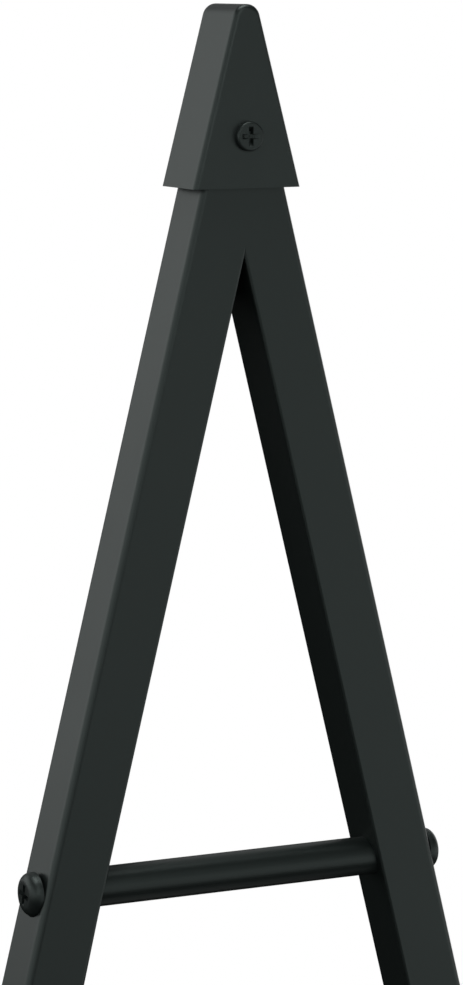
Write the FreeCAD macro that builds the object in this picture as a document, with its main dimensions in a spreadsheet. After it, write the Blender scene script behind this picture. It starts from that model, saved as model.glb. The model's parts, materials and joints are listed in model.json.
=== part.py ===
import FreeCAD, Part
import math
import os
import Sketcher

# Folding three-legged stand: a square-tube A-frame with rungs, a hinged rear leg and a wedge cap.
# Frame: +Z up, +X to the right, +Y to the back, millimetres. The origin is on the ground under
# the middle of the footprint.

doc = FreeCAD.newDocument("Stand")
sheet = doc.addObject("Spreadsheet::Sheet", "Size")

drivingSizes = [
    ("tube", "25.4", "side of the square front tube"),
    ("tubeWall", "2.5", "wall of the front tube"),
    ("outerRound", "2.6", "corner radius on the outer side of a front leg"),
    ("innerRound", "1.1", "corner radius on the inner side of a front leg"),
    ("splay", "14.03", "lean of a front leg from upright, degrees"),
    ("crotchDrop", "28.6", "from the cap's rim down to where the legs part"),
    ("apexHalfWidth", "2.15", "half of the flat on top of the mitred legs, inside the cap"),
    ("capSideRoom", "5.57", "from a leg's outer face to the cap's outside, at its rim"),
    ("capTopRoom", "2.6", "the same at the top of the legs"),
    ("capHeadroom", "7.3", "from the top of the legs to the top of the cap"),
    ("capOverhang", "3", "how far the cap stands out in front and behind"),
    ("capWall", "2.6", "wall of the cap"),
    ("capEdgeRound", "2.2", "radius of the cap's long edges"),
    ("capTopRound", "5.9", "radius of the cap's two top corners"),
    ("ribThickness", "2.5", "thickness of the locating rib on each side in the cap"),
    ("capScrewRise", "21.2", "cap screws above the rim"),
    ("capScrewThread", "6", "cap screw thread"),
    ("capScrewHead", "12.2", "cap screw head diameter"),
    ("capScrewHeadHeight", "2.6", "cap screw head height"),
    ("capScrewLength", "15", "cap screw under the head"),
    ("rungPitch", "300", "ground to first rung, and rung to rung"),
    ("topRungDrop", "288.85", "from the cap's rim down to the top rung"),
    ("rungDiameter", "16.5", "outside of a rung"),
    ("rungWall", "2", "wall of a rung"),
    ("rungDepth", "11", "rung axis behind the front faces of the legs"),
    ("boltThread", "8", "rung bolt thread"),
    ("boltHead", "18.3", "rung bolt head diameter"),
    ("boltHeadHeight", "5.4", "rung bolt head height"),
    ("boltBite", "18", "thread length in the rung insert"),
    ("insertLength", "26", "length of a rung insert"),
    ("blockHeight", "28", "height of a crush block"),
    ("fit", "0.1", "diameter clearance of a shaft in its hole"),
    ("screwClearance", "0.6", "diameter clearance of a screw in a clearance hole"),
    ("gap", "0.3", "gap between parts that are assembled loosely"),
    ("rearTube", "20", "side of the rear leg's tube"),
    ("rearWall", "1.5", "wall of the rear leg's tube"),
    ("rearRound", "2", "corner radius of the rear leg's tube"),
    ("rearSplay", "23.8", "lean of the open rear leg, degrees"),
    ("pivotDrop", "38", "from the cap's rim down to the hinge pin"),
    ("topReach", "12.5", "rear leg above the pin, with its plug"),
    ("plugHead", "2", "thickness of the plug's head"),
    ("plugDepth", "4", "length of the plug's spigot"),
    ("pinDiameter", "8", "hinge pin"),
    ("pinHead", "12", "hinge pin head diameter"),
    ("pinHeadHeight", "2.5", "hinge pin head height"),
    ("bushDiameter", "12", "outside of the hinge bush"),
    ("clipWidth", "1", "thickness of the retaining ring"),
    ("clipDiameter", "11.5", "outside of the retaining ring"),
    ("grooveDiameter", "6.6", "bottom of the ring's groove in the pin"),
    ("plateThickness", "2.5", "back plate of the hinge bracket"),
    ("earThickness", "3", "ears of the hinge bracket"),
    ("earRadius", "8.5", "round end of an ear about the pin"),
    ("plateTopDrop", "1.5", "from the cap's rim down to the plate's top"),
    ("plateHeight", "45", "height of the back plate"),
    ("bracketScrewDrop", "8", "bracket screws below the cap's rim"),
    ("bracketScrewSpread", "14", "distance between the bracket screws"),
    ("bracketScrewThread", "5", "bracket screw thread"),
    ("bracketScrewHead", "9.2", "bracket screw head diameter"),
    ("bracketScrewHeadHeight", "2.2", "bracket screw head height"),
    ("bracketScrewLength", "14", "bracket screw under the head"),
    ("rivetDiameter", "4.8", "bracket rivet"),
    ("rivetHead", "7.6", "rivet head diameter"),
    ("rivetHeadHeight", "1.4", "rivet head height"),
    ("rivetLength", "7", "rivet under the head"),
    ("rivetSpread", "12.6", "distance between the rivets"),
    ("rivetDrop", "42", "rivets below the cap's rim"),
    ("sole", "10", "rubber under the end of a leg"),
    ("bootWall", "3.2", "rubber round the end of a leg"),
    ("bootHeight", "62", "height of a boot"),
    ("bootRound", "4", "corner radius of a boot"),
]
rungCount = 4
apexWalls = 5  # wall thicknesses of solid metal at the very top of the legs
ribFoot, ribHead = 0.1, 0.625  # the cap's ribs start and end at these shares of its height

# How far each head is rounded over, as a share of its height
boltDome = 0.74
capScrewDome = 0.35
bracketScrewDome = 0.6
rivetDome = 0.8

size = {}
for row, (alias, value, note) in enumerate(drivingSizes, 1):
    sheet.set(f"A{row}", alias)
    sheet.set(f"B{row}", value)
    sheet.set(f"C{row}", note)
    sheet.setAlias(f"B{row}", alias)
    size[alias] = f"Size.{alias}"
doc.recompute()


def joined(*terms):
    return "(" + " + ".join(f"({term})" for term in terms) + ")"


def less(first, *others):
    return "(" + " - ".join([f"({first})"] + [f"({other})" for other in others]) + ")"


def times(*factors):
    return "(" + " * ".join(f"({factor})" for factor in factors) + ")"


def over(top, bottom):
    return f"(({top}) / ({bottom}))"


# Lengths that follow from the driving sizes. They are expressions, so they stay bound to the sheet.
legSlope = f"tan({size['splay']})"
rearCos = f"cos({size['rearSplay']})"
rearSin = f"sin({size['rearSplay']})"
levelTube = over(size["tube"], f"cos({size['splay']})")
levelWall = over(size["tubeWall"], f"cos({size['splay']})")
levelBootWall = over(size["bootWall"], f"cos({size['splay']})")
levelGap = over(size["gap"], f"cos({size['splay']})")
rimHeight = joined(times(size["rungPitch"], rungCount), size["topRungDrop"])
crotchHeight = less(rimHeight, size["crotchDrop"])
innerAtRim = times(-1, legSlope, size["crotchDrop"])
outerAtRim = joined(levelTube, innerAtRim)
apexRise = over(less(outerAtRim, size["apexHalfWidth"]), legSlope)
legTop = joined(rimHeight, apexRise)
hollowTop = less(legTop, times(size["tubeWall"], apexWalls))
capHalfWidth = joined(outerAtRim, size["capSideRoom"])
capTopHalfWidth = joined(size["apexHalfWidth"], size["capTopRoom"])
capHeight = joined(apexRise, size["capHeadroom"])
capSlope = over(less(capHalfWidth, capTopHalfWidth), capHeight)
levelCapWall = times(size["capWall"], f"sqrt(1 + {times(capSlope, capSlope)})")
plateBack = joined(size["tube"], size["plateThickness"])
halfRear = over(size["rearTube"], 2)
pivotHeight = less(rimHeight, size["pivotDrop"])
pivotDepth = joined(plateBack, size["gap"], times(size["topReach"], rearSin), times(halfRear, rearCos))
earInside = joined(halfRear, size["gap"])
earOutside = joined(earInside, size["earThickness"])
pivotToGround = over(pivotHeight, rearCos)
rearBootHalf = joined(halfRear, size["bootWall"])
rearFootBack = joined(pivotDepth, times(pivotHeight, over(rearSin, rearCos)), over(rearBootHalf, rearCos))
screwFront = times(-1, joined(size["capOverhang"], size["capScrewHeadHeight"]))
centreDepth = over(joined(rearFootBack, screwFront), 2)


def outerAt(height):
    """Half the distance between the legs' outer faces at a height."""
    return joined(outerAtRim, times(legSlope, less(rimHeight, height)))


def innerAt(height):
    """Half the distance between the legs' inner faces at a height."""
    return joined(innerAtRim, times(legSlope, less(rimHeight, height)))


def capSideAt(rise):
    return less(capHalfWidth, times(capSlope, rise))


def newBody(label, across="0", back="0", up="0"):
    """A body in the stand's frame, with depths counted from the legs' front faces."""
    body = doc.addObject("PartDesign::Body", label)
    body.Label = label
    body.setExpression("Placement.Base.x", across)
    body.setExpression("Placement.Base.y", less(back, centreDepth))
    body.setExpression("Placement.Base.z", up)
    return body


def newSketch(body, name, role, offset="0"):
    plane = [feature for feature in body.Origin.OriginFeatures if feature.Role == role][0]
    sketch = body.newObject("Sketcher::SketchObject", name)
    sketch.AttachmentSupport = [(plane, "")]
    sketch.MapMode = "FlatFace"
    sketch.setExpression("AttachmentOffset.Base.z", offset)
    return sketch


def bindPoint(sketch, geometry, point, across, up):
    for kind, value in (("DistanceX", across), ("DistanceY", up)):
        start = 1.0
        index = sketch.addConstraint(Sketcher.Constraint(kind, -1, 1, geometry, point, start))
        sketch.setExpression(f"Constraints[{index}]", value)


def addPolygon(sketch, corners):
    """A closed outline whose corners are given as pairs of expressions."""
    first = sketch.GeometryCount
    count = len(corners)
    spots = []
    for number in range(count):
        turn = 2 * math.pi * number / count
        spots.append(FreeCAD.Vector(50 * math.cos(turn), 50 * math.sin(turn), 0))
    for number in range(count):
        sketch.addGeometry(Part.LineSegment(spots[number], spots[(number + 1) % count]), False)
    for number in range(count):
        following = first + (number + 1) % count
        sketch.addConstraint(Sketcher.Constraint("Coincident", first + number, 2, following, 1))
    for number, (across, up) in enumerate(corners):
        bindPoint(sketch, first + number, 1, across, up)


def addCircle(sketch, diameter, across="0", up="0"):
    circle = Part.Circle(FreeCAD.Vector(1, 1, 0), FreeCAD.Vector(0, 0, 1), 3)
    index = sketch.addGeometry(circle, False)
    bound = sketch.addConstraint(Sketcher.Constraint("Diameter", index, 6.0))
    sketch.setExpression(f"Constraints[{bound}]", diameter)
    bindPoint(sketch, index, 3, across, up)


def addSquare(sketch, side):
    half = over(side, 2)
    low = times(-1, half)
    addPolygon(sketch, [(low, low), (half, low), (half, half), (low, half)])


def extrude(body, kind, name, sketch, length, centred=False, reversed=False):
    feature = body.newObject(f"PartDesign::{kind}", name)
    feature.Profile = (sketch, [""])
    feature.setExpression("Length", length)
    if centred:
        feature.SideType = "Symmetric"
    feature.Reversed = reversed
    sketch.Visibility = False
    doc.recompute()
    return feature


def frontPad(body, name, corners, length, start="0"):
    """Adds an outline drawn as seen from the front, from a depth towards the back."""
    sketch = newSketch(body, name + "Outline", "XZ_Plane", times(-1, start))
    addPolygon(sketch, corners)
    return extrude(body, "Pad", name, sketch, length, reversed=True)


def frontPocket(body, name, corners, length, start="0"):
    sketch = newSketch(body, name + "Outline", "XZ_Plane", times(-1, start))
    addPolygon(sketch, corners)
    return extrude(body, "Pocket", name, sketch, length)


def frontHoles(body, name, diameter, places, length, start="0"):
    sketch = newSketch(body, name + "Circles", "XZ_Plane", times(-1, start))
    for across, up in places:
        addCircle(sketch, diameter, across, up)
    return extrude(body, "Pocket", name, sketch, length)


def sideHole(body, name, diameter, back, up, length):
    """A hole along X, centred on the body's own middle plane."""
    sketch = newSketch(body, name + "Circle", "YZ_Plane")
    addCircle(sketch, diameter, back, up)
    return extrude(body, "Pocket", name, sketch, length, centred=True)


def revolve(body, name, corners):
    """Turns an outline of (along X, radius) corners about the body's X axis."""
    sketch = newSketch(body, name + "Outline", "XZ_Plane")
    addPolygon(sketch, corners)
    feature = body.newObject("PartDesign::Revolution", name)
    feature.Profile = (sketch, [""])
    feature.ReferenceAxis = (sketch, ["H_Axis"])
    feature.Angle = 360
    sketch.Visibility = False
    doc.recompute()
    return feature


def roundEdges(body, name, radius, wanted):
    """Fillets the edges of the body's tip whose end points pass the test."""
    base = body.Tip
    names = []
    for number, edge in enumerate(base.Shape.Edges, 1):
        ends = [vertex.Point for vertex in edge.Vertexes]
        if wanted(edge, ends):
            names.append(f"Edge{number}")
    fillet = body.newObject("PartDesign::Fillet", name)
    fillet.Base = (base, names)
    fillet.setExpression("Radius", radius)
    doc.recompute()
    return fillet


def value(expression):
    """The number that an expression has now, read back through a scratch property."""
    scratch.setExpression("Placement.Base.x", expression)
    scratch.recompute()
    return scratch.Placement.Base.x


scratch = doc.addObject("Part::Box", "Scratch")
near = 0.01
nodes = []


def fastener(label, thread, head, headHeight, length, rounding):
    """A domed screw along X: its head points to -X and its shank to +X, from the head's seat."""
    radius = over(thread, 2)
    headRadius = over(head, 2)
    body = newBody(label)
    revolve(body, label + "Turned", [
        (times(-1, headHeight), "0"),
        (times(-1, headHeight), headRadius),
        ("0", headRadius),
        ("0", radius),
        (length, radius),
        (length, "0"),
    ])
    outer = value(headRadius)
    tip = -value(headHeight)

    def onDomeRim(edge, ends):
        atTip = all(abs(end.x - tip) < near for end in ends)
        return atTip and all(abs(math.hypot(end.y, end.z) - outer) < near for end in ends)

    roundEdges(body, label + "Dome", rounding, onDomeRim)
    return body


def place(body, across, back, up, turn=None):
    """Moves a body; turn is an axis and an angle in degrees that do not change."""
    if turn:
        axis, angle = turn
        body.Placement = FreeCAD.Placement(FreeCAD.Vector(0, 0, 0), FreeCAD.Rotation(axis, angle))
    body.setExpression("Placement.Base.x", across)
    body.setExpression("Placement.Base.y", less(back, centreDepth))
    body.setExpression("Placement.Base.z", up)


def group(label, members):
    """Identical loose pieces that share one node."""
    compound = doc.addObject("Part::Compound", label)
    compound.Label = label
    compound.Links = members
    nodes.append(compound)
    return compound


zAxis = FreeCAD.Vector(0, 0, 1)
halfTurn = (zAxis, 180)
rungHeights = [times(size["rungPitch"], number) for number in range(1, rungCount + 1)]
boltHole = joined(size["boltThread"], size["screwClearance"])
capScrewHole = joined(size["capScrewThread"], size["screwClearance"])
capScrewHeight = joined(rimHeight, size["capScrewRise"])
bracketScrewHeight = less(rimHeight, size["bracketScrewDrop"])
bracketScrewHalf = over(size["bracketScrewSpread"], 2)
rivetHeight = less(rimHeight, size["rivetDrop"])
rivetHalf = over(size["rivetSpread"], 2)
voidDepth = less(size["tube"], times(2, size["tubeWall"]))
headRoom = joined(size["boltHead"], size["gap"], size["gap"])


# --- front legs -------------------------------------------------------------------------------

def frontLeg(label, side):
    """One square tube of the A-frame, mitred on the middle plane; side is -1 or 1."""
    def point(across, height):
        return (times(side, across), height)

    body = newBody(label)
    voidCrotch = joined(crotchHeight, over(levelWall, legSlope))
    outline = [
        point("0", legTop),
        point(outerAt(legTop), legTop),
        point(outerAt(size["sole"]), size["sole"]),
        point(innerAt(size["sole"]), size["sole"]),
        point("0", crotchHeight),
    ]
    bore = [
        point("0", hollowTop),
        point(less(outerAt(hollowTop), levelWall), hollowTop),
        point(less(outerAt("0"), levelWall), "0"),
        point(joined(innerAt("0"), levelWall), "0"),
        point("0", voidCrotch),
    ]
    frontPad(body, label + "Tube", outline, size["tube"])
    low = value(size["sole"])
    high = value(legTop)
    crotch = value(crotchHeight)

    def outerLong(edge, ends):
        spans = sorted(end.z for end in ends)
        level = abs(ends[0].y - ends[1].y) < near
        return level and abs(spans[0] - low) < near and abs(spans[1] - high) < near

    def innerLong(edge, ends):
        spans = sorted(end.z for end in ends)
        level = abs(ends[0].y - ends[1].y) < near
        return level and abs(spans[0] - low) < near and abs(spans[1] - crotch) < near

    roundEdges(body, label + "OuterRound", size["outerRound"], outerLong)
    roundEdges(body, label + "InnerRound", size["innerRound"], innerLong)
    frontPocket(body, label + "Bore", bore, voidDepth, size["tubeWall"])

    # Clearance holes through both walls for the rung bolts, with a flat seat for each head
    for number, height in enumerate(rungHeights, 1):
        seat = outerAt(height)
        reach = joined(levelTube, size["tube"])
        start = times(side, joined(seat, size["tube"]))
        drill = newSketch(body, f"{label}Bolt{number}Circle", "YZ_Plane", start)
        addCircle(drill, boltHole, size["rungDepth"], height)
        extrude(body, "Pocket", f"{label}Bolt{number}", drill, joined(reach, size["tube"]),
                reversed=side < 0)
        spot = newSketch(body, f"{label}Seat{number}Circle", "YZ_Plane", start)
        addCircle(spot, headRoom, size["rungDepth"], height)
        extrude(body, "Pocket", f"{label}Seat{number}", spot, size["tube"], reversed=side < 0)

    # Holes at the apex: a cap screw front and back, and the bracket's screw and rivet
    frontHoles(body, label + "CapScrews", capScrewHole, [("0", capScrewHeight)], size["tube"])
    screwHole = joined(size["bracketScrewThread"], size["screwClearance"])
    rivetHole = joined(size["rivetDiameter"], size["fit"])
    wallStart = less(size["tube"], size["tubeWall"])
    frontHoles(body, label + "BracketScrew", screwHole,
               [point(bracketScrewHalf, bracketScrewHeight)], size["tubeWall"], wallStart)
    frontHoles(body, label + "Rivet", rivetHole, [point(rivetHalf, rivetHeight)],
               size["rivetLength"], less(size["tube"], size["rivetLength"]))
    nodes.append(body)


frontLeg("left_leg", -1)
frontLeg("right_leg", 1)


# --- apex block and crush blocks --------------------------------------------------------------

def apexBlock():
    """Fills the shared hollow of the two legs where the screws need metal."""
    body = newBody("apex_block")
    bottom = less(rimHeight, over(size["crotchDrop"], 2))
    top = over(joined(capScrewHeight, hollowTop), 2)
    lowHalf = less(outerAt(bottom), levelWall)
    highHalf = less(outerAt(top), levelWall)
    outline = [
        (times(-1, lowHalf), bottom),
        (lowHalf, bottom),
        (highHalf, top),
        (times(-1, highHalf), top),
    ]
    frontPad(body, "ApexBlockSolid", outline, voidDepth, size["tubeWall"])
    frontHoles(body, "ApexCapThreads", joined(size["capScrewThread"], size["fit"]),
               [("0", capScrewHeight)], size["tube"])
    places = [(bracketScrewHalf, bracketScrewHeight),
              (times(-1, bracketScrewHalf), bracketScrewHeight)]
    frontHoles(body, "ApexBracketThreads", joined(size["bracketScrewThread"], size["fit"]),
               places, size["tube"])
    nodes.append(body)


apexBlock()


def crushBlock(label, side, height):
    """Keeps the tube from being squeezed flat under a rung bolt."""
    body = newBody(label)
    low = less(height, over(size["blockHeight"], 2))
    high = joined(height, over(size["blockHeight"], 2))
    outline = []
    for level in (low, high):
        outline.append((times(side, joined(innerAt(level), levelWall)), level))
        outline.append((times(side, less(outerAt(level), levelWall)), level))
    outline = [outline[0], outline[1], outline[3], outline[2]]
    frontPad(body, label + "Solid", outline, voidDepth, size["tubeWall"])
    drill = newSketch(body, label + "Circle", "YZ_Plane")
    addCircle(drill, boltHole, size["rungDepth"], height)
    extrude(body, "Pocket", label + "Hole", drill, times(3, outerAt(low)), centred=True)
    return body


# --- rungs, with their inserts and bolts ------------------------------------------------------

def rung(number, height):
    """A round tube whose ends are cut to the lean of the legs."""
    label = f"rung_{number}"
    body = newBody(label, back=size["rungDepth"], up=height)
    radius = over(size["rungDiameter"], 2)
    beyond = times(2, size["rungDiameter"])
    halfGap = innerAt(height)
    ring = newSketch(body, label + "Ring", "YZ_Plane")
    addCircle(ring, size["rungDiameter"])
    addCircle(ring, less(size["rungDiameter"], times(2, size["rungWall"])))
    extrude(body, "Pad", label + "Tube", ring, joined(times(2, halfGap), beyond), centred=True)
    ends = newSketch(body, label + "Ends", "XZ_Plane")
    for side in (-1, 1):
        addPolygon(ends, [
            (times(side, less(halfGap, times(legSlope, beyond))), beyond),
            (times(side, joined(halfGap, times(legSlope, beyond))), times(-1, beyond)),
            (times(side, joined(halfGap, beyond)), times(-1, beyond)),
            (times(side, joined(halfGap, beyond)), beyond),
        ])
    extrude(body, "Pocket", label + "EndCuts", ends, times(2, beyond), centred=True)
    nodes.append(body)

    inserts = []
    bolts = []
    blocks = []
    boreRadius = less(radius, size["rungWall"])
    insertEnd = less(halfGap, times(legSlope, radius), size["gap"])
    shank = joined(levelTube, size["boltBite"])
    domeRound = times(size["boltHeadHeight"], boltDome)
    for side, name in ((-1, "left"), (1, "right")):
        insert = newBody(f"rung_{number}_insert_{name}")
        hole = over(joined(size["boltThread"], size["fit"]), 2)
        sleeve = less(boreRadius, over(size["fit"], 2))
        revolve(insert, f"Insert{number}{name}", [
            (times(-1, insertEnd), hole),
            (times(-1, insertEnd), sleeve),
            (less(size["insertLength"], insertEnd), sleeve),
            (less(size["insertLength"], insertEnd), hole),
        ])
        place(insert, "0", size["rungDepth"], height, halfTurn if side > 0 else None)
        inserts.append(insert)
        bolt = fastener(f"rung_{number}_bolt_{name}", size["boltThread"], size["boltHead"],
                        size["boltHeadHeight"], shank, domeRound)
        place(bolt, times(side, outerAt(height)), size["rungDepth"], height,
              halfTurn if side > 0 else None)
        bolts.append(bolt)
        blocks.append(crushBlock(f"crush_block_{number}_{name}", side, height))
    group(f"rung_inserts_{number}", inserts)
    group(f"rung_bolts_{number}", bolts)
    group(f"crush_blocks_{number}", blocks)


for number, height in enumerate(rungHeights, 1):
    rung(number, height)


# --- cap --------------------------------------------------------------------------------------

def cap():
    """A hollow wedge open below, with a locating rib on each side."""
    body = newBody("cap")
    front = times(-1, size["capOverhang"])
    depth = joined(size["tube"], times(2, size["capOverhang"]))
    top = joined(rimHeight, capHeight)
    lowHalf = capSideAt("0")
    highHalf = capSideAt(capHeight)
    outline = [
        (times(-1, lowHalf), rimHeight),
        (lowHalf, rimHeight),
        (highHalf, top),
        (times(-1, highHalf), top),
    ]
    frontPad(body, "CapSolid", outline, depth, front)
    topLevel = value(top)
    rimLevel = value(rimHeight)

    def topCorner(edge, ends):
        across = abs(ends[0].y - ends[1].y) > near
        return across and all(abs(end.z - topLevel) < near for end in ends)

    roundEdges(body, "CapTopRound", size["capTopRound"], topCorner)

    def notRim(edge, ends):
        level = abs(ends[0].y - ends[1].y) < near
        return level and not all(abs(end.z - rimLevel) < near for end in ends)

    roundEdges(body, "CapEdgeRound", size["capEdgeRound"], notRim)

    roof = joined(apexRise, size["gap"])
    cavityDepth = joined(size["tube"], times(2, size["gap"]))
    cavityHalf = less(lowHalf, levelCapWall)
    roofHalf = joined(outerAt(legTop), levelGap, levelGap)
    shoulder = less(roof, times(2, size["capWall"]))
    cavity = [
        (times(-1, cavityHalf), rimHeight),
        (cavityHalf, rimHeight),
        (less(capSideAt(shoulder), levelCapWall), joined(rimHeight, shoulder)),
        (roofHalf, joined(rimHeight, roof)),
        (times(-1, roofHalf), joined(rimHeight, roof)),
        (times(-1, less(capSideAt(shoulder), levelCapWall)), joined(rimHeight, shoulder)),
    ]
    frontPocket(body, "CapCavity", cavity, cavityDepth, times(-1, size["gap"]))

    ribs = newSketch(body, "CapRibOutlines", "XZ_Plane",
                     times(-1, over(less(size["tube"], size["ribThickness"]), 2)))
    ribBottom = times(capHeight, ribFoot)
    ribTop = times(capHeight, ribHead)
    inWall = over(levelCapWall, 2)
    for side in (-1, 1):
        corners = []
        for rise in (ribBottom, ribTop):
            level = joined(rimHeight, rise)
            corners.append((times(side, joined(outerAt(level), levelGap)), level))
            corners.append((times(side, less(capSideAt(rise), inWall)), level))
        addPolygon(ribs, [corners[0], corners[1], corners[3], corners[2]])
    extrude(body, "Pad", "CapRibs", ribs, size["ribThickness"], reversed=True)
    frontHoles(body, "CapScrewHoles", capScrewHole, [("0", capScrewHeight)], depth, front)
    nodes.append(body)


cap()


def capScrew(label, depth, angle):
    body = fastener(label, size["capScrewThread"], size["capScrewHead"], size["capScrewHeadHeight"],
                    size["capScrewLength"], times(size["capScrewHeadHeight"], capScrewDome))
    place(body, "0", depth, capScrewHeight, (zAxis, angle))
    nodes.append(body)


capScrew("cap_screw_front", times(-1, size["capOverhang"]), 90)
capScrew("cap_screw_rear", joined(size["tube"], size["capOverhang"]), -90)


# --- hinge bracket and its fasteners ----------------------------------------------------------

def hingeBracket():
    """A U bracket: a plate on the backs of both legs and two ears for the pin."""
    body = newBody("hinge_bracket")
    plateTop = less(rimHeight, size["plateTopDrop"])
    plateLow = less(plateTop, size["plateHeight"])
    width = times(2, earOutside)
    inside = times(2, earInside)
    earBack = joined(pivotDepth, size["earRadius"])
    earTop = joined(pivotHeight, size["earRadius"])
    earLow = less(pivotHeight, size["earRadius"])
    plate = newSketch(body, "BracketPlateOutline", "YZ_Plane")
    addPolygon(plate, [
        (size["tube"], plateLow), (plateBack, plateLow), (plateBack, plateTop), (size["tube"], plateTop),
    ])
    extrude(body, "Pad", "BracketPlate", plate, width, centred=True)
    ears = newSketch(body, "BracketEarOutline", "YZ_Plane")
    addPolygon(ears, [
        (size["tube"], earLow), (earBack, earLow), (earBack, earTop), (size["tube"], earTop),
    ])
    extrude(body, "Pad", "BracketEars", ears, width, centred=True)
    backDepth = value(earBack)

    def earCorner(edge, ends):
        return all(abs(end.y - backDepth) < near for end in ends) and abs(ends[0].x - ends[1].x) > near

    roundEdges(body, "BracketEarRound", less(size["earRadius"], size["gap"]), earCorner)
    between = newSketch(body, "BracketGapOutline", "YZ_Plane")
    beyond = joined(earBack, size["tube"])
    addPolygon(between, [
        (plateBack, less(plateLow, size["tube"])), (beyond, less(plateLow, size["tube"])),
        (beyond, joined(plateTop, size["tube"])), (plateBack, joined(plateTop, size["tube"])),
    ])
    extrude(body, "Pocket", "BracketGap", between, inside, centred=True)
    sideHole(body, "BracketPinHole", joined(size["pinDiameter"], size["fit"]),
             pivotDepth, pivotHeight, times(2, width))
    screwHole = joined(size["bracketScrewThread"], size["screwClearance"])
    frontHoles(body, "BracketScrewHoles", screwHole,
               [(bracketScrewHalf, bracketScrewHeight), (times(-1, bracketScrewHalf), bracketScrewHeight)],
               size["plateThickness"], size["tube"])
    frontHoles(body, "BracketRivetHoles", joined(size["rivetDiameter"], size["fit"]),
               [(rivetHalf, rivetHeight), (times(-1, rivetHalf), rivetHeight)],
               size["plateThickness"], size["tube"])
    nodes.append(body)


hingeBracket()


def bracketFasteners():
    screws = []
    rivets = []
    for side, name in ((-1, "left"), (1, "right")):
        screw = fastener(f"bracket_screw_{name}", size["bracketScrewThread"], size["bracketScrewHead"],
                         size["bracketScrewHeadHeight"], size["bracketScrewLength"],
                         times(size["bracketScrewHeadHeight"], bracketScrewDome))
        place(screw, times(side, bracketScrewHalf), plateBack, bracketScrewHeight, (zAxis, -90))
        screws.append(screw)
        rivet = fastener(f"bracket_rivet_{name}", size["rivetDiameter"], size["rivetHead"],
                         size["rivetHeadHeight"], size["rivetLength"],
                         times(size["rivetHeadHeight"], rivetDome))
        place(rivet, times(side, rivetHalf), plateBack, rivetHeight, (zAxis, -90))
        rivets.append(rivet)
    group("bracket_screws", screws)
    group("bracket_rivets", rivets)


bracketFasteners()


# --- hinge pin, clip and bush -----------------------------------------------------------------

def hingePin():
    body = newBody("hinge_pin", back=pivotDepth, up=pivotHeight)
    radius = over(size["pinDiameter"], 2)
    grooveRadius = over(size["grooveDiameter"], 2)
    grooveIn = joined(earOutside, over(size["fit"], 2))
    grooveOut = joined(grooveIn, size["clipWidth"], size["fit"])
    tail = joined(grooveOut, size["clipWidth"])
    headIn = earOutside
    headOut = joined(earOutside, size["pinHeadHeight"])
    revolve(body, "PinTurned", [
        (times(-1, tail), "0"),
        (times(-1, tail), radius),
        (times(-1, grooveOut), radius),
        (times(-1, grooveOut), grooveRadius),
        (times(-1, grooveIn), grooveRadius),
        (times(-1, grooveIn), radius),
        (headIn, radius),
        (headIn, over(size["pinHead"], 2)),
        (headOut, over(size["pinHead"], 2)),
        (headOut, "0"),
    ])
    nodes.append(body)

    clip = newBody("hinge_clip", back=pivotDepth, up=pivotHeight)
    clipIn = joined(grooveIn, over(size["fit"], 2))
    clipOut = joined(clipIn, size["clipWidth"])
    clipHole = joined(grooveRadius, over(size["fit"], 2))
    revolve(clip, "ClipTurned", [
        (times(-1, clipOut), clipHole),
        (times(-1, clipOut), over(size["clipDiameter"], 2)),
        (times(-1, clipIn), over(size["clipDiameter"], 2)),
        (times(-1, clipIn), clipHole),
    ])
    nodes.append(clip)


hingePin()


def onRearLeg(label):
    """A body whose own origin is the hinge pin and whose own -Z runs down the open rear leg."""
    body = newBody(label, back=pivotDepth, up=pivotHeight)
    body.Placement = FreeCAD.Placement(FreeCAD.Vector(0, 0, 0),
                                       FreeCAD.Rotation(FreeCAD.Vector(1, 0, 0), 10))
    body.setExpression("Placement.Rotation.Angle", size["rearSplay"])
    nodes.append(body)
    return body


def rearLeg():
    body = onRearLeg("rear_leg")
    tubeTop = less(size["topReach"], size["plugHead"])
    tubeEnd = over(less(pivotHeight, size["sole"], times(halfRear, rearSin)), rearCos)
    section = newSketch(body, "RearTubeSection", "XY_Plane", tubeTop)
    addSquare(section, size["rearTube"])
    extrude(body, "Pad", "RearTube", section, joined(tubeEnd, tubeTop), reversed=True)

    def longEdge(edge, ends):
        return abs(ends[0].z - ends[1].z) > 100

    roundEdges(body, "RearTubeRound", size["rearRound"], longEdge)
    bore = newSketch(body, "RearBoreSection", "XY_Plane", joined(tubeTop, size["rearTube"]))
    addSquare(bore, less(size["rearTube"], times(2, size["rearWall"])))
    extrude(body, "Pocket", "RearBore", bore, joined(tubeEnd, tubeTop, times(3, size["rearTube"])))
    sideHole(body, "RearBushHole", joined(size["bushDiameter"], size["fit"]), "0", "0",
             times(2, size["rearTube"]))

    bush = onRearLeg("hinge_bush")
    halfBush = joined(halfRear, less(size["gap"], over(size["fit"], 2)))
    hole = over(joined(size["pinDiameter"], size["fit"]), 2)
    revolve(bush, "BushTurned", [
        (times(-1, halfBush), hole),
        (times(-1, halfBush), over(size["bushDiameter"], 2)),
        (halfBush, over(size["bushDiameter"], 2)),
        (halfBush, hole),
    ])

    plug = onRearLeg("rear_leg_plug")
    head = newSketch(plug, "PlugHeadOutline", "XY_Plane", tubeTop)
    addSquare(head, size["rearTube"])
    extrude(plug, "Pad", "PlugHead", head, size["plugHead"])

    def uprightEdge(edge, ends):
        return abs(ends[0].z - ends[1].z) > near

    roundEdges(plug, "PlugRound", size["rearRound"], uprightEdge)
    spigot = newSketch(plug, "PlugSpigotOutline", "XY_Plane", tubeTop)
    addSquare(spigot, less(size["rearTube"], times(2, size["rearWall"]), size["fit"]))
    extrude(plug, "Pad", "PlugSpigot", spigot, size["plugDepth"], reversed=True)


rearLeg()


# --- feet -------------------------------------------------------------------------------------

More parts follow.
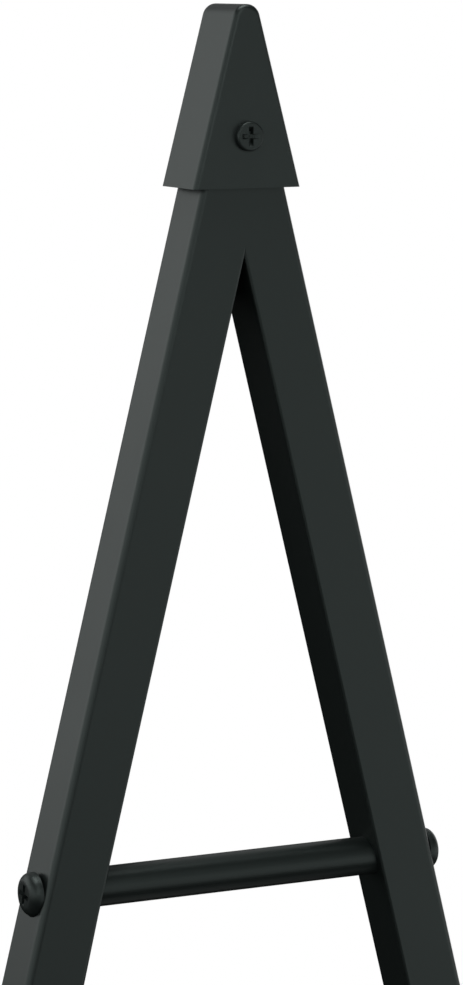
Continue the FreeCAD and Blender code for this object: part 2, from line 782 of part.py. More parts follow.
def frontBoot(label, side):
    body = newBody(label)

    def outlineBetween(low, high, spare):
        corners = []
        for height in (low, high):
            corners.append((times(side, less(innerAt(height), spare)), height))
            corners.append((times(side, joined(outerAt(height), spare)), height))
        return [corners[0], corners[1], corners[3], corners[2]]

    outline = outlineBetween("0", size["bootHeight"], levelBootWall)
    depth = joined(size["tube"], times(2, size["bootWall"]))
    frontPad(body, label + "Rubber", outline, depth, times(-1, size["bootWall"]))
    high = value(size["bootHeight"])

    def upright(edge, ends):
        spans = sorted(end.z for end in ends)
        return abs(spans[0]) < near and abs(spans[1] - high) < near

    roundEdges(body, label + "Round", size["bootRound"], upright)
    socket = outlineBetween(size["sole"], times(2, size["bootHeight"]), "0")
    frontPocket(body, label + "Socket", socket, size["tube"])
    nodes.append(body)


frontBoot("left_foot", -1)
frontBoot("right_foot", 1)


def rearBoot():
    """The sole is cut level, so it leans in the leg's own frame."""
    body = onRearLeg("rear_foot")
    bootTop = times(-1, less(pivotToGround, size["bootHeight"]))

    def groundAt(back):
        return times(-1, over(joined(pivotHeight, times(back, rearSin)), rearCos))

    side = newSketch(body, "RearBootOutline", "YZ_Plane")
    frontSide = times(-1, rearBootHalf)
    addPolygon(side, [
        (frontSide, groundAt(frontSide)),
        (rearBootHalf, groundAt(rearBootHalf)),
        (rearBootHalf, bootTop),
        (frontSide, bootTop),
    ])
    extrude(body, "Pad", "RearBootRubber", side, times(2, rearBootHalf), centred=True)

    def upright(edge, ends):
        sameSide = abs(ends[0].x - ends[1].x) < near and abs(ends[0].y - ends[1].y) < near
        return sameSide and abs(ends[0].z - ends[1].z) > near

    roundEdges(body, "RearBootRound", size["bootRound"], upright)
    socket = newSketch(body, "RearSocketSection", "XY_Plane", joined(bootTop, size["rearTube"]))
    addSquare(socket, size["rearTube"])
    tubeEnd = over(less(pivotHeight, size["sole"], times(halfRear, rearSin)), rearCos)
    extrude(body, "Pocket", "RearSocket", socket, joined(tubeEnd, bootTop, size["rearTube"]))


rearBoot()


# --- checks and export ------------------------------------------------------------------------

doc.removeObject("Scratch")
doc.recompute()
for item in doc.Objects:
    if "Invalid" in item.State or "Error" in item.State:
        raise RuntimeError(f"{item.Name} did not build: {item.State}")
for node in nodes:
    if node.Shape.isNull() or not node.Shape.isValid():
        raise RuntimeError(f"{node.Label} has no valid shape")

os.makedirs("parts", exist_ok=True)
for node in nodes:
    node.Shape.exportStep(os.path.join("parts", node.Label + ".step"))
    box = node.Shape.BoundBox
    print(f"{node.Label}: {len(node.Shape.Solids)} solid(s), {box.XLength:.1f} x {box.YLength:.1f} x "
          f"{box.ZLength:.1f} mm, from z {box.ZMin:.1f}, volume {node.Shape.Volume:.0f}")
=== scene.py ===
import json
import math

import bmesh
import bpy
from mathutils import Matrix, Vector


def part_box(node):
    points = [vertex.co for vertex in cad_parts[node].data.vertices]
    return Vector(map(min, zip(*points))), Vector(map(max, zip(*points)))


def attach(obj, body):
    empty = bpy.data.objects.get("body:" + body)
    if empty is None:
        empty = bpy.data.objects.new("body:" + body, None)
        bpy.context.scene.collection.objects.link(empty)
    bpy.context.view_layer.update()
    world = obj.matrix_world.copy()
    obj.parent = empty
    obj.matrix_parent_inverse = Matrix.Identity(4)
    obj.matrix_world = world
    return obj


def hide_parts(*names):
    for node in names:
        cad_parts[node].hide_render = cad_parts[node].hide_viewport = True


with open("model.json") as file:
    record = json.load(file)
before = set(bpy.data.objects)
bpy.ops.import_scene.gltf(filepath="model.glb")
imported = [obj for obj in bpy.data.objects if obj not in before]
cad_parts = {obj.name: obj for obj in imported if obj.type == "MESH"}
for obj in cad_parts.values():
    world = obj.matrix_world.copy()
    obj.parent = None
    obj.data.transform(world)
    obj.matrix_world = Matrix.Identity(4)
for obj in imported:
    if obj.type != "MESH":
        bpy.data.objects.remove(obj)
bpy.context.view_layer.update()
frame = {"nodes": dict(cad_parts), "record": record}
nodes = frame["nodes"]
scene = bpy.context.scene
mm = 0.001
tiny = 1e-6  # metres: points nearer than this are one point
slack = 0.01  # millimetres: heights nearer than this are level
print("frame loaded:", len(nodes), "nodes")

# Where things are. The first two are read from the frame, and the lean is how the legs were built
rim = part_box("cap")[0].z  # lower edge of the cap
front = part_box("left_leg")[0].y  # front faces of the two front legs
lean = {"legs": 14.03, "rearLeg": 23.8}  # degrees from upright


# Camera: a long lens, a little above the cap's rim and well round to the left
camera = {"lens": 141.52, "sensor": 36, "farthest": 100, "x": -0.723, "ahead": 1.4167, "aboveRim": 0.0912,
          "turn": 26.838, "down": 7.78}

lensData = bpy.data.cameras.new("camera")
lensData.sensor_fit = "AUTO"
lensData.sensor_width = camera["sensor"]  # along the longer side of the picture
lensData.lens = camera["lens"]
lensData.clip_end = camera["farthest"]
cameraObject = bpy.data.objects.new("camera", lensData)
cameraObject.location = (camera["x"], front - camera["ahead"], rim + camera["aboveRim"])
cameraObject.rotation_euler = (math.radians(90 - camera["down"]), 0, math.radians(-camera["turn"]))
scene.collection.objects.link(cameraObject)
scene.camera = cameraObject
print("camera set")


def linear(hexColour):
    parts = [int(hexColour[at:at + 2], 16) / 255 for at in (1, 3, 5)]
    return tuple(c / 12.92 if c <= 0.04045 else ((c + 0.055) / 1.055) ** 2.4 for c in parts) + (1,)


def addNode(tree, kind, settings=None, links=None):
    node = tree.nodes.new(kind)
    for key, given in (settings or {}).items():
        if isinstance(key, int) or key in node.inputs:
            node.inputs[key].default_value = given
        else:
            setattr(node, key, given)
    for key, source in (links or {}).items():
        tree.links.new(source, node.inputs[key])
    return node


def blankMaterial(name):
    # A new material with nothing in it but the object's own coordinates
    material = bpy.data.materials.new(name)
    material.use_nodes = True
    tree = material.node_tree
    tree.nodes.clear()
    return material, tree, addNode(tree, "ShaderNodeTexCoord").outputs["Object"]


# Studio: softboxes round the stand, all aimed at its upper half.
# turn is counted in degrees from the front, towards the right, and up from level
studio = {
    "aim": Vector((0, front, 1.3)),
    "away": 2.7,
    "softboxes": [
        {"name": "softboxTop", "turn": 0, "up": 88, "size": 1.8, "power": 39},
        {"name": "softboxBackLeft", "turn": 225, "up": 16, "size": 2.2, "power": 19},
        {"name": "softboxBack", "turn": 185, "up": 25, "size": 1.8, "power": 3},
        {"name": "softboxLeft", "turn": 265, "up": 10, "size": 1.8, "power": 10.4},
        {"name": "softboxFrontLeft", "turn": 300, "up": 8, "size": 1.8, "power": 9.7},
        {"name": "softboxFront", "turn": 335, "up": 5, "size": 1.8, "power": 5.8},
        {"name": "softboxHighFront", "turn": 0, "up": 25, "size": 1.8, "power": 12.3},
        {"name": "softboxFrontRight", "turn": 30, "up": -10, "size": 1.8, "power": 6.1},
        {"name": "softboxRight", "turn": 60, "up": -10, "size": 1.8, "power": 7.8},
        {"name": "softboxFarRight", "turn": 90, "up": -10, "size": 1.8, "power": 3.2},
        {"name": "softboxBackRight", "turn": 122, "up": 5, "size": 1.8, "power": 10},
        {"name": "softboxHighBackRight", "turn": 140, "up": 35, "size": 1.8, "power": 4.4},
        {"name": "softboxBounce", "turn": 90, "up": -65, "size": 1.8, "power": 2.1},
    ],
    "white": (1, 1, 1, 1),
    "surround": 0.004,
    "floorNear": 0.9,
    "floorRadius": 2.4,
    "floorSides": 128,
    "floorColour": "#e8e8e6",
    "floorGlow": 0.6,
}


def addSoftbox(softbox):
    turn = math.radians(softbox["turn"])
    up = math.radians(softbox["up"])
    away = Vector((math.sin(turn) * math.cos(up), -math.cos(turn) * math.cos(up), math.sin(up)))
    data = bpy.data.lights.new(softbox["name"], "AREA")
    data.shape = "SQUARE"
    data.size = softbox["size"]
    data.energy = softbox["power"]
    light = bpy.data.objects.new(softbox["name"], data)
    light.location = studio["aim"] + away * studio["away"]
    light.rotation_euler = (-away).to_track_quat("-Z", "Y").to_euler()
    light.visible_camera = False
    scene.collection.objects.link(light)


def addSurround():
    # Seen white behind the stand, but almost none of its light falls on the stand
    world = bpy.data.worlds.new("studio")
    scene.world = world
    world.use_nodes = True
    tree = world.node_tree
    tree.nodes.clear()
    paths = addNode(tree, "ShaderNodeLightPath")
    dim = addNode(tree, "ShaderNodeBackground", {"Color": studio["white"], "Strength": studio["surround"]})
    white = addNode(tree, "ShaderNodeBackground", {"Color": studio["white"], "Strength": 1.0})
    seen = addNode(tree, "ShaderNodeMixShader", {},
                   {0: paths.outputs["Is Camera Ray"], 1: dim.outputs[0], 2: white.outputs[0]})
    addNode(tree, "ShaderNodeOutputWorld", {}, {"Surface": seen.outputs[0]})
    scene.view_settings.view_transform = "Standard"
    scene.view_settings.look = "None"


def addFloor():
    # Matt and pale, with a glow that grows towards its rim until it is as white as the surround
    material, tree, at = blankMaterial("paleFloor")
    distance = addNode(tree, "ShaderNodeVectorMath", {"operation": "LENGTH"}, {0: at}).outputs["Value"]
    fade = addNode(tree, "ShaderNodeMapRange", {"interpolation_type": "SMOOTHSTEP",
                                                "From Min": studio["floorNear"],
                                                "From Max": studio["floorRadius"]}, {"Value": distance})
    matt = addNode(tree, "ShaderNodeBsdfDiffuse", {"Color": linear(studio["floorColour"])})
    glow = addNode(tree, "ShaderNodeEmission", {"Color": studio["white"], "Strength": studio["floorGlow"]})
    both = addNode(tree, "ShaderNodeAddShader", {}, {0: matt.outputs[0], 1: glow.outputs[0]})
    white = addNode(tree, "ShaderNodeEmission", {"Color": studio["white"], "Strength": 1.0})
    blend = addNode(tree, "ShaderNodeMixShader", {},
                    {0: fade.outputs[0], 1: both.outputs[0], 2: white.outputs[0]})
    addNode(tree, "ShaderNodeOutputMaterial", {}, {"Surface": blend.outputs[0]})
    disc = bmesh.new()
    bmesh.ops.create_circle(disc, cap_ends=True, segments=studio["floorSides"],
                            radius=studio["floorRadius"])
    mesh = bpy.data.meshes.new("floor")
    disc.to_mesh(mesh)
    disc.free()
    floor = bpy.data.objects.new("floor", mesh)
    mesh.materials.append(material)
    scene.collection.objects.link(floor)
    floor.visible_diffuse = False  # its bounce would lift the dark undersides
    floor.visible_glossy = False
    floor.visible_shadow = False  # the lowest softbox stands for the white floor's bounce


for softbox in studio["softboxes"]:
    addSoftbox(softbox)
addSurround()
addFloor()
print("studio lit")


# Materials. Widths and depths are in millimetres on the real object
greenish = linear("#ecfffa")  # the cool cast of the charcoal finishes' gloss


def noiseOf(tree, at, width, detail):
    settings = {"Scale": 1 / (width * mm), "Detail": detail}
    return addNode(tree, "ShaderNodeTexNoise", settings, {"Vector": at}).outputs["Fac"]


def mixOf(tree, first, second, amount):
    settings = {"data_type": "RGBA", 6: linear(first), 7: linear(second)}
    return addNode(tree, "ShaderNodeMix", settings, {0: amount}).outputs[2]


def rangeOf(tree, amount, settings):
    return addNode(tree, "ShaderNodeMapRange", settings, {"Value": amount}).outputs[0]


def bumpOf(tree, height, strength, depth):
    settings = {"Strength": strength, "Distance": depth * mm}
    return addNode(tree, "ShaderNodeBump", settings, {"Height": height}).outputs[0]


def setSurface(tree, settings, links):
    shader = addNode(tree, "ShaderNodeBsdfPrincipled", settings, links)
    addNode(tree, "ShaderNodeOutputMaterial", {}, {"Surface": shader.outputs[0]})


coat = {"colour": "#1c2120", "patch": "#191e1d", "patchWidth": 70, "patchDetail": 3, "smoothest": 0.33,
        "roughest": 0.39, "peelWidth": 1.3, "peelDetail": 2, "peelDepth": 0.02, "grainWidth": 0.35,
        "grainDetail": 1, "grainShare": 0.25, "bump": 0.5, "ior": 1.5}


def powderCoatedSteel():
    # Powder coat, sprayed and baked on: matt charcoal, a fine orange peel and slightly uneven gloss
    material, tree, at = blankMaterial("powderCoatedSteel")
    patches = noiseOf(tree, at, coat["patchWidth"], coat["patchDetail"])
    tint = mixOf(tree, coat["colour"], coat["patch"], patches)
    gloss = rangeOf(tree, patches, {"To Min": coat["smoothest"], "To Max": coat["roughest"]})
    peel = noiseOf(tree, at, coat["peelWidth"], coat["peelDetail"])
    grain = noiseOf(tree, at, coat["grainWidth"], coat["grainDetail"])
    skin = addNode(tree, "ShaderNodeMath", {"operation": "MULTIPLY_ADD", 1: coat["grainShare"]},
                   {0: grain, 2: peel})
    bump = bumpOf(tree, skin.outputs[0], coat["bump"], coat["peelDepth"])
    setSurface(tree, {"IOR": coat["ior"], "Specular Tint": greenish},
               {"Base Color": tint, "Roughness": gloss, "Normal": bump})
    return material


nylon = {"colour": "#1e2322", "patch": "#1b201f", "patchWidth": 40, "patchDetail": 3, "roughness": 0.38,
         "sparkWidth": 0.5, "sparkDepth": 0.012, "bump": 0.5, "ior": 1.53}


def mouldedNylon():
    # Glass-filled nylon from a spark-eroded mould: the same charcoal, with a fine even matt grain
    material, tree, at = blankMaterial("mouldedNylon")
    patches = noiseOf(tree, at, nylon["patchWidth"], nylon["patchDetail"])
    tint = mixOf(tree, nylon["colour"], nylon["patch"], patches)
    spark = addNode(tree, "ShaderNodeTexVoronoi", {"Scale": 1 / (nylon["sparkWidth"] * mm)}, {"Vector": at})
    bump = bumpOf(tree, spark.outputs["Distance"], nylon["bump"], nylon["sparkDepth"])
    setSurface(tree, {"IOR": nylon["ior"], "Roughness": nylon["roughness"], "Specular Tint": greenish},
               {"Base Color": tint, "Normal": bump})
    return material


oxide = {"colour": "#181d1c", "worn": "#212625", "wearWidth": 4, "wearDetail": 5, "smoothest": 0.34,
         "roughest": 0.48, "pitWidth": 0.6, "pitDetail": 3, "pitDepth": 0.02, "bump": 0.5, "ior": 1.5}


def blackenedSteel():
    # Phosphated and blackened screw steel: near-black, satin, faintly mottled
    material, tree, at = blankMaterial("blackenedSteel")
    wear = noiseOf(tree, at, oxide["wearWidth"], oxide["wearDetail"])
    tint = mixOf(tree, oxide["colour"], oxide["worn"], wear)
    gloss = rangeOf(tree, wear, {"To Min": oxide["smoothest"], "To Max": oxide["roughest"]})
    pits = noiseOf(tree, at, oxide["pitWidth"], oxide["pitDetail"])
    bump = bumpOf(tree, pits, oxide["bump"], oxide["pitDepth"])
    setSurface(tree, {"IOR": oxide["ior"], "Specular Tint": greenish},
               {"Base Color": tint, "Roughness": gloss, "Normal": bump})
    return material


turned = {"bright": "#b4b3b0", "dull": "#8c8b88", "oilWidth": 9, "oilDetail": 4, "grooveWidth": 0.8,
          "grooveDetail": 1, "grooveDepth": 0.01, "waviness": 0.6, "roughness": 0.34, "bump": 0.6}
bandSpan = 0.314  # metres from band to band of a wave texture at scale 1


def turnedSteel():
    # Bare free-cutting steel off the lathe and saw: grey metal with fine tool lines and dull patches of oil
    material, tree, at = blankMaterial("turnedSteel")
    oil = noiseOf(tree, at, turned["oilWidth"], turned["oilDetail"])
    tint = mixOf(tree, turned["bright"], turned["dull"], oil)
    settings = {"bands_direction": "X", "Scale": bandSpan / (turned["grooveWidth"] * mm),
                "Distortion": turned["waviness"], "Detail": turned["grooveDetail"]}
    lines = addNode(tree, "ShaderNodeTexWave", settings, {"Vector": at})
    bump = bumpOf(tree, lines.outputs["Fac"], turned["bump"], turned["grooveDepth"])
    setSurface(tree, {"Metallic": 1.0, "Roughness": turned["roughness"]},
               {"Base Color": tint, "Normal": bump})
    return material


zinc = {"bright": "#c3c6c9", "dull": "#a3a7ab", "bloomWidth": 2.5, "bloomDetail": 4, "smoothest": 0.3,
        "roughest": 0.46}


def zincPlate():
    # Dull zinc plating: pale blue-grey metal with a soft cloudy bloom
    material, tree, at = blankMaterial("zincPlate")
    bloom = noiseOf(tree, at, zinc["bloomWidth"], zinc["bloomDetail"])
    tint = mixOf(tree, zinc["bright"], zinc["dull"], bloom)
    gloss = rangeOf(tree, bloom, {"To Min": zinc["smoothest"], "To Max": zinc["roughest"]})
    setSurface(tree, {"Metallic": 1.0}, {"Base Color": tint, "Roughness": gloss})
    return material


rubber = {"colour": "#1c1d1d", "dust": "#2b2a28", "dustWidth": 14, "dustDetail": 5, "dustFrom": 0.45,
          "dustTo": 0.75, "dustMost": 0.5, "grainWidth": 0.7, "grainDetail": 2, "grainDepth": 0.05,
          "roughness": 0.72, "bump": 0.6, "ior": 1.52}


def mouldedRubber():
    # Black moulded rubber: near-black, matt, with a fine grain and a thin uneven dust
    material, tree, at = blankMaterial("mouldedRubber")
    dust = noiseOf(tree, at, rubber["dustWidth"], rubber["dustDetail"])
    spread = rangeOf(tree, dust, {"From Min": rubber["dustFrom"], "From Max": rubber["dustTo"],
                                  "To Max": rubber["dustMost"]})
    tint = mixOf(tree, rubber["colour"], rubber["dust"], spread)
    grain = noiseOf(tree, at, rubber["grainWidth"], rubber["grainDetail"])
    bump = bumpOf(tree, grain, rubber["bump"], rubber["grainDepth"])
    setSurface(tree, {"IOR": rubber["ior"], "Roughness": rubber["roughness"]},
               {"Base Color": tint, "Normal": bump})
    return material


finishes = {
    "tube_paint": powderCoatedSteel(),
    "cap_plastic": mouldedNylon(),
    "black_bolt": blackenedSteel(),
    "inner_steel": turnedSteel(),
    "zinc_steel": zincPlate(),
    "boot_rubber": mouldedRubber(),
}
slotOf = {entry["node"]: entry["material_slot"] for entry in frame["record"]["subparts"]}
for name, slot in slotOf.items():
    mesh = nodes[name].data
    mesh.materials.clear()
    mesh.materials.append(finishes[slot])
print("materials made:", len(finishes))


# Tools for the pieces
def makePiece(name, shape, node, body="a_frame", sharp=35):
    # sharp is the angle in degrees above which an edge keeps its crease
    mesh = bpy.data.meshes.new(name)
    shape.to_mesh(mesh)
    shape.free()
    piece = bpy.data.objects.new(name, mesh)
    scene.collection.objects.link(piece)
    mesh.materials.append(finishes[slotOf[node]])
    for face in mesh.polygons:
        face.use_smooth = True
        face.material_index = 0
    mesh.set_sharp_from_angle(angle=math.radians(sharp))
    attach(piece, body)
    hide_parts(node)


def centreOf(node):
    low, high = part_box(node)
    return (low + high) / 2


def cutAway(shape, cutters):
    # Takes the cutter shapes out of a shape
    def asObject(name, part):
        mesh = bpy.data.meshes.new(name)
        part.to_mesh(mesh)
        part.free()
        item = bpy.data.objects.new(name, mesh)
        scene.collection.objects.link(item)
        return item

    target = asObject("target", shape)
    tools = [asObject("cutter", cutter) for cutter in cutters]
    for tool in tools:
        cut = target.modifiers.new("cut", "BOOLEAN")
        cut.operation = "DIFFERENCE"
        cut.solver = "EXACT"
        cut.object = tool
    result = bmesh.new()
    result.from_object(target, bpy.context.evaluated_depsgraph_get())
    for item in [target] + tools:
        bpy.data.objects.remove(item)
    return result


def sliceAcross(shape, height, clearBelow=False):
    # Cuts every face at one height in metres, and can take away what lies below it
    everything = shape.verts[:] + shape.edges[:] + shape.faces[:]
    bmesh.ops.bisect_plane(shape, geom=everything, dist=tiny, plane_co=(0, 0, height), plane_no=(0, 0, 1),
                           clear_inner=clearBelow)


def openEdges(shape):
    return [edge for edge in shape.edges if edge.is_boundary]


def bevelEdges(shape, edges, size, segments, clamp=False):
    bmesh.ops.bevel(shape, geom=edges, offset=size * mm, affect="EDGES", segments=segments, profile=0.5,
                    material=-1, clamp_overlap=clamp)


def turnedShape(outline, steps=72, sweep=math.tau):
    # Turns (along x, radius) points about the x axis. Less than a full turn makes an open ring
    shape = bmesh.new()
    corners = [shape.verts.new((x * mm, 0, radius * mm)) for x, radius in outline]
    edges = [shape.edges.new(pair) for pair in zip(corners, corners[1:])]
    whole = sweep == math.tau
    if not whole:
        edges.append(shape.edges.new((corners[-1], corners[0])))
    bmesh.ops.spin(shape, geom=corners + edges, cent=(0, 0, 0), axis=(1, 0, 0), dvec=(0, 0, 0),
                   angle=sweep, steps=steps, use_merge=whole, use_duplicate=False)
    bmesh.ops.remove_doubles(shape, verts=shape.verts[:], dist=tiny)
    if not whole:
        bmesh.ops.holes_fill(shape, edges=openEdges(shape), sides=len(outline))
    bmesh.ops.recalc_face_normals(shape, faces=shape.faces[:])
    return shape


def roundRim(shape, x, radius, size, segments=8):
    # Rounds the circular edge at one place along a turned shape
    def onRim(vert):
        away = math.hypot(vert.co.y, vert.co.z)
        return abs(vert.co.x - x * mm) < tiny and abs(away - radius * mm) < tiny

    rimEdges = [edge for edge in shape.edges if all(onRim(vert) for vert in edge.verts)]
    bevelEdges(shape, rimEdges, size, segments)


def placed(shape, spot, turn=0, roll=0):
    # To its seat: roll about its own axis, then turn about the vertical
    turning = Matrix.Rotation(math.radians(turn), 4, "Z") @ Matrix.Rotation(math.radians(roll), 4, "X")
    bmesh.ops.transform(shape, matrix=Matrix.Translation(spot) @ turning, verts=shape.verts[:])
    return shape


def joinShapes(shapes):
    whole = bmesh.new()
    for shape in shapes:
        mesh = bpy.data.meshes.new("part")
        shape.to_mesh(mesh)
        shape.free()
        whole.from_mesh(mesh)
        bpy.data.meshes.remove(mesh)
    return whole


def mergedCopy(node, flatWithin):
    # A node's mesh with its triangles joined where they lie flat within some degrees
    shape = bmesh.new()
    shape.from_mesh(nodes[node].data)
    bmesh.ops.remove_doubles(shape, verts=shape.verts[:], dist=tiny)
    bmesh.ops.dissolve_limit(shape, angle_limit=math.radians(flatWithin), verts=shape.verts[:],
                             edges=shape.edges[:])
    shape.normal_update()
    return shape


# Screws with a cross recess: seat at x = 0, head towards -x, rounded over at its rim
recess = {"proud": 0.1, "deepWidth": 0.7, "deepAcross": 0.5, "coneAcross": 0.9, "coneTip": 0.3,
          "coneSides": 32}


def recessCutters(cross, top):
    # Two tapering bars across each other and a cone in the middle, sunk from the top of the head
    cutters = []
    for quarter in (0, 90):
        bar = bmesh.new()
        bmesh.ops.create_cube(bar, size=1)
        bmesh.ops.translate(bar, vec=(0.5 - recess["proud"], 0, 0), verts=bar.verts[:])
        size = (cross["depth"] * mm, cross["width"] * mm, cross["across"] * mm)
        bmesh.ops.scale(bar, vec=size, verts=bar.verts[:])
        deepEnd = [vert for vert in bar.verts if vert.co.x > 0]
        bmesh.ops.scale(bar, vec=(1, recess["deepWidth"], recess["deepAcross"]), verts=deepEnd)
        turning = Matrix.Rotation(math.radians(quarter), 3, "X")
        bmesh.ops.rotate(bar, cent=(0, 0, 0), matrix=turning, verts=bar.verts[:])
        cutters.append(bar)
    cone = bmesh.new()
    bmesh.ops.create_cone(cone, cap_ends=True, segments=recess["coneSides"], radius2=recess["coneTip"] * mm,
                          radius1=cross["width"] * recess["coneAcross"] * mm, depth=2 * cross["depth"] * mm)
    turning = Matrix.Rotation(math.radians(90), 3, "Y")
    bmesh.ops.rotate(cone, cent=(0, 0, 0), matrix=turning, verts=cone.verts[:])
    cutters.append(cone)
    for cutter in cutters:
        bmesh.ops.translate(cutter, vec=(top * mm, 0, 0), verts=cutter.verts[:])
    return cutters


def screwShape(part):
    top = -part["height"]
    head = part["head"] / 2
    thread = part["thread"] / 2
    end = part["length"]
    shape = turnedShape([(top, 0), (top, head), (0, head), (0, thread), (end, thread), (end, 0)])
    roundRim(shape, top, head, part["dome"], segments=10)
    return cutAway(shape, recessCutters(part["cross"], top))


rungBolt = {"head": 18.3, "height": 5.4, "dome": 4.0, "thread": 8, "length": 43.8,
            "cross": {"across": 9.4, "width": 2.2, "depth": 3.0},
            "rolls": (11, -24, 38, 7, -15, 52, 20, -33)}

rolls = iter(rungBolt["rolls"])
for number in (4, 3, 2, 1):
    node = f"rung_bolts_{number}"
    low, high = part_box(node)
    middle = centreOf(node)
    pair = []
    for seat, turn in ((low.x + rungBolt["height"] * mm, 0), (high.x - rungBolt["height"] * mm, 180)):
        pair.append(placed(screwShape(rungBolt), (seat, middle.y, middle.z), turn, next(rolls)))
    makePiece(f"rungBolts{number}", joinShapes(pair), node)

capScrew = {"head": 12.2, "height": 2.6, "dome": 0.95, "thread": 6, "length": 15,
            "cross": {"across": 8.6, "width": 2.2, "depth": 2.2}}

seats = {"Front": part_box("cap_screw_front")[0].y + capScrew["height"] * mm,
         "Rear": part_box("cap_screw_rear")[1].y - capScrew["height"] * mm}
for side, node, turn in (("Front", "cap_screw_front", 90), ("Rear", "cap_screw_rear", -90)):
    middle = centreOf(node)
    shape = placed(screwShape(capScrew), (middle.x, seats[side], middle.z), turn)
    makePiece("capScrew" + side, shape, node)
print("rung bolts and cap screws made")


# Behind the cap: two pan-head screws and two pop rivets hold the hinge bracket
bracketScrew = {"head": 9.2, "height": 2.2, "dome": 1.3, "thread": 5, "length": 14,
                "cross": {"across": 5.4, "width": 1.3, "depth": 1.5}, "rolls": (17, -31)}

low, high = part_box("bracket_screws")
sides = (low.x + bracketScrew["head"] / 2 * mm, high.x - bracketScrew["head"] / 2 * mm)
pair = []
for x, roll in zip(sides, bracketScrew["rolls"]):
    seat = (x, high.y - bracketScrew["height"] * mm, centreOf("bracket_screws").z)
    pair.append(placed(screwShape(bracketScrew), seat, -90, roll))
makePiece("bracketScrews", joinShapes(pair), "bracket_screws")

rivet = {"head": 7.6, "height": 1.4, "dome": 1.1, "shaft": 4.8, "length": 7, "dimple": 2.6,
         "dimpleFloor": 2.2, "dimpleDepth": 0.7, "sides": 48}


def rivetShape():
    top = -rivet["height"]
    floor = top + rivet["dimpleDepth"]
    head = rivet["head"] / 2
    shaft = rivet["shaft"] / 2
    end = rivet["length"]
    outline = [(floor, 0), (floor, rivet["dimpleFloor"] / 2), (top, rivet["dimple"] / 2), (top, head),
               (0, head), (0, shaft), (end, shaft), (end, 0)]
    shape = turnedShape(outline, rivet["sides"])
    roundRim(shape, top, head, rivet["dome"])
    return shape


low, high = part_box("bracket_rivets")
sides = (low.x + rivet["head"] / 2 * mm, high.x - rivet["head"] / 2 * mm)
pair = []
for x in sides:
    pair.append(placed(rivetShape(), (x, high.y - rivet["height"] * mm, centreOf("bracket_rivets").z), -90))
makePiece("bracketRivets", joinShapes(pair), "bracket_rivets")
print("bracket screws and rivets made")


# Hinge: the folded bracket with its edges broken, a pin with a domed head, and an open retaining ring
bracket = {"edgeRound": 0.45, "sharpest": 30, "flatWithin": 0.5}

shape = mergedCopy("hinge_bracket", bracket["flatWithin"])
corners = [edge for edge in shape.edges
           if edge.is_manifold and edge.calc_face_angle() > math.radians(bracket["sharpest"])]
bevelEdges(shape, corners, bracket["edgeRound"], segments=3, clamp=True)
makePiece("hingeBracket", shape, "hinge_bracket")

hinge = Vector((0, centreOf("hinge_pin").y, centreOf("hinge_pin").z))
pin = {"diameter": 8, "head": 12, "headHeight": 2.5, "headRound": 1.2, "groove": 6.6, "grooveWidth": 1.1,
       "tail": 1.0, "tailRound": 0.4}


def pinShape(end, top):
    # From the tail's end to the top of the head, both in millimetres along x
    radius = pin["diameter"] / 2
    groove = pin["groove"] / 2
    head = pin["head"] / 2
    grooveFrom = end + pin["tail"]
    grooveTo = grooveFrom + pin["grooveWidth"]
    neck = top - pin["headHeight"]
    shape = turnedShape([(end, 0), (end, radius), (grooveFrom, radius), (grooveFrom, groove),
                         (grooveTo, groove), (grooveTo, radius), (neck, radius), (neck, head),
                         (top, head), (top, 0)])
    roundRim(shape, top, head, pin["headRound"])
    roundRim(shape, end, radius, pin["tailRound"], segments=3)
    return shape


low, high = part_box("hinge_pin")
makePiece("hingePin", placed(pinShape(low.x / mm, high.x / mm), hinge), "hinge_pin")

ring = {"hole": 6.7, "opening": 70, "steps": 56}

low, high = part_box("hinge_clip")
inside = ring["hole"] / 2
outside = (high.z - low.z) / 2 / mm
section = [(low.x / mm, inside), (low.x / mm, outside), (high.x / mm, outside), (high.x / mm, inside)]
shape = turnedShape(section, ring["steps"], math.radians(360 - ring["opening"]))
seat = (0, centreOf("hinge_clip").y, centreOf("hinge_clip").z)
makePiece("hingeClip", placed(shape, seat, roll=180 + ring["opening"] / 2), "hinge_clip")
print("hinge made")


# Boots: moulded rubber with a collar, grooves below it and a cut tread
boot = {"height": 62, "wall": 3.2, "sole": 10, "rearSole": 14.5, "corner": 4, "cornerSteps": 8, "collar": 8,
        "groove": 5, "rib": 3.5, "grooves": 4, "draft": 0.9, "sink": 0.9, "edgeRound": 0.9, "treads": 4,
        "treadWidth": 2.4, "treadDepth": 1.2, "spare": 12, "sharp": 40}


def block(across, deep, top, bottom):
    shape = bmesh.new()
    bmesh.ops.create_cube(shape, size=1)
    bmesh.ops.scale(shape, vec=(across * mm, deep * mm, (top - bottom) * mm), verts=shape.verts[:])
    bmesh.ops.translate(shape, vec=(0, 0, (top + bottom) / 2 * mm), verts=shape.verts[:])
    return shape


def bootShell(across, deep):
    # The outside, drawn about its own axis with the top at z = 0 and some spare below the ground
    shape = block(across, deep, 0, -boot["height"] - boot["spare"])
    uprights = [edge for edge in shape.edges if abs(edge.verts[0].co.z - edge.verts[1].co.z) > mm]
    bevelEdges(shape, uprights, boot["corner"], boot["cornerSteps"])
    grooveFloors = []
    for number in range(boot["grooves"]):
        start = boot["collar"] + number * (boot["groove"] + boot["rib"])
        end = start + boot["groove"]
        floor = (start + boot["draft"], end - boot["draft"])
        for drop in (start, *floor, end):
            sliceAcross(shape, -drop * mm)
        grooveFloors.append(floor)
    sunk = [vert for vert in shape.verts
            if any(start - slack < -vert.co.z / mm < end + slack for start, end in grooveFloors)]
    bmesh.ops.scale(shape, vec=(1 - 2 * boot["sink"] / across, 1 - 2 * boot["sink"] / deep, 1), verts=sunk)
    return shape


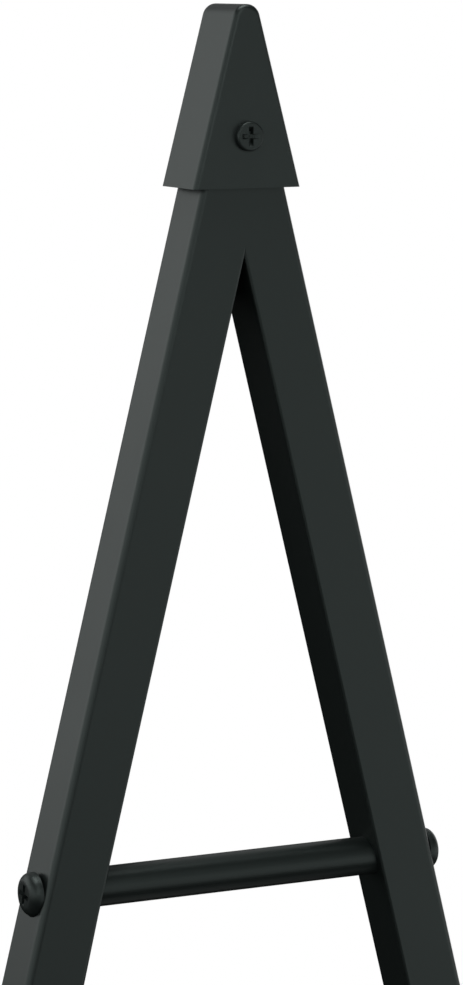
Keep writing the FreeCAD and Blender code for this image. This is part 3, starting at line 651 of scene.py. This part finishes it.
def bootShape(across, deep, wallAcross, place, soleRise):
    # The shell moved to its place, cut off level with the ground and rounded, then its socket and tread
    shape = bootShell(across, deep)
    bmesh.ops.transform(shape, matrix=place, verts=shape.verts[:])
    sliceAcross(shape, 0, clearBelow=True)
    bmesh.ops.holes_fill(shape, edges=openEdges(shape), sides=0)
    bmesh.ops.recalc_face_normals(shape, faces=shape.faces[:])
    # The top and the sole are the only faces with many corners
    ends = [face for face in shape.faces if len(face.verts) > boot["cornerSteps"]]
    rims = list({edge for face in ends for edge in face.edges})
    bevelEdges(shape, rims, boot["edgeRound"], segments=4)

    socket = block(across - 2 * wallAcross, deep - 2 * boot["wall"], boot["height"],
                   soleRise - boot["height"])
    bmesh.ops.transform(socket, matrix=place, verts=socket.verts[:])
    cutters = [socket]
    sole = [vert.co for vert in shape.verts if vert.co.z < slack * mm]
    soleFront = min(spot.y for spot in sole)
    soleBack = max(spot.y for spot in sole)
    middle = (min(spot.x for spot in sole) + max(spot.x for spot in sole)) / 2
    for number in range(boot["treads"]):
        bar = block(2 * across, boot["treadWidth"], boot["treadDepth"], -boot["treadDepth"])
        y = soleFront + (soleBack - soleFront) * (number + 0.5) / boot["treads"]
        bmesh.ops.translate(bar, vec=(middle, y, 0), verts=bar.verts[:])
        cutters.append(bar)
    return cutAway(shape, cutters)


for name, node, side in (("leftBoot", "left_foot", -1), ("rightBoot", "right_foot", 1)):
    low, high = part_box(node)
    deep = (high.y - low.y) / mm
    across = deep / math.cos(math.radians(lean["legs"]))
    inside, outside = (high.x, low.x) if side < 0 else (low.x, high.x)
    topX = inside + side * across / 2 * mm
    soleX = outside - side * across / 2 * mm
    leaning = Matrix.Shear("XY", 4, ((topX - soleX) / high.z, 0))
    place = Matrix.Translation((topX, (low.y + high.y) / 2, high.z)) @ leaning
    shape = bootShape(across, deep, across * boot["wall"] / deep, place, boot["sole"])
    makePiece(name, shape, node, sharp=boot["sharp"])

low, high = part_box("rear_foot")
across = (high.x - low.x) / mm
rearLean = math.radians(lean["rearLeg"])
upwards = Vector((0, -math.sin(rearLean), math.cos(rearLean)))
toGround = hinge.z / math.cos(rearLean)
top = hinge - upwards * (toGround - boot["height"] * mm)
place = Matrix.Translation(top) @ Matrix.Rotation(rearLean, 4, "X")
shape = bootShape(across, across, boot["wall"], place, boot["rearSole"])
makePiece("rearBoot", shape, "rear_foot", "rear_strut", boot["sharp"])
print("boots made")
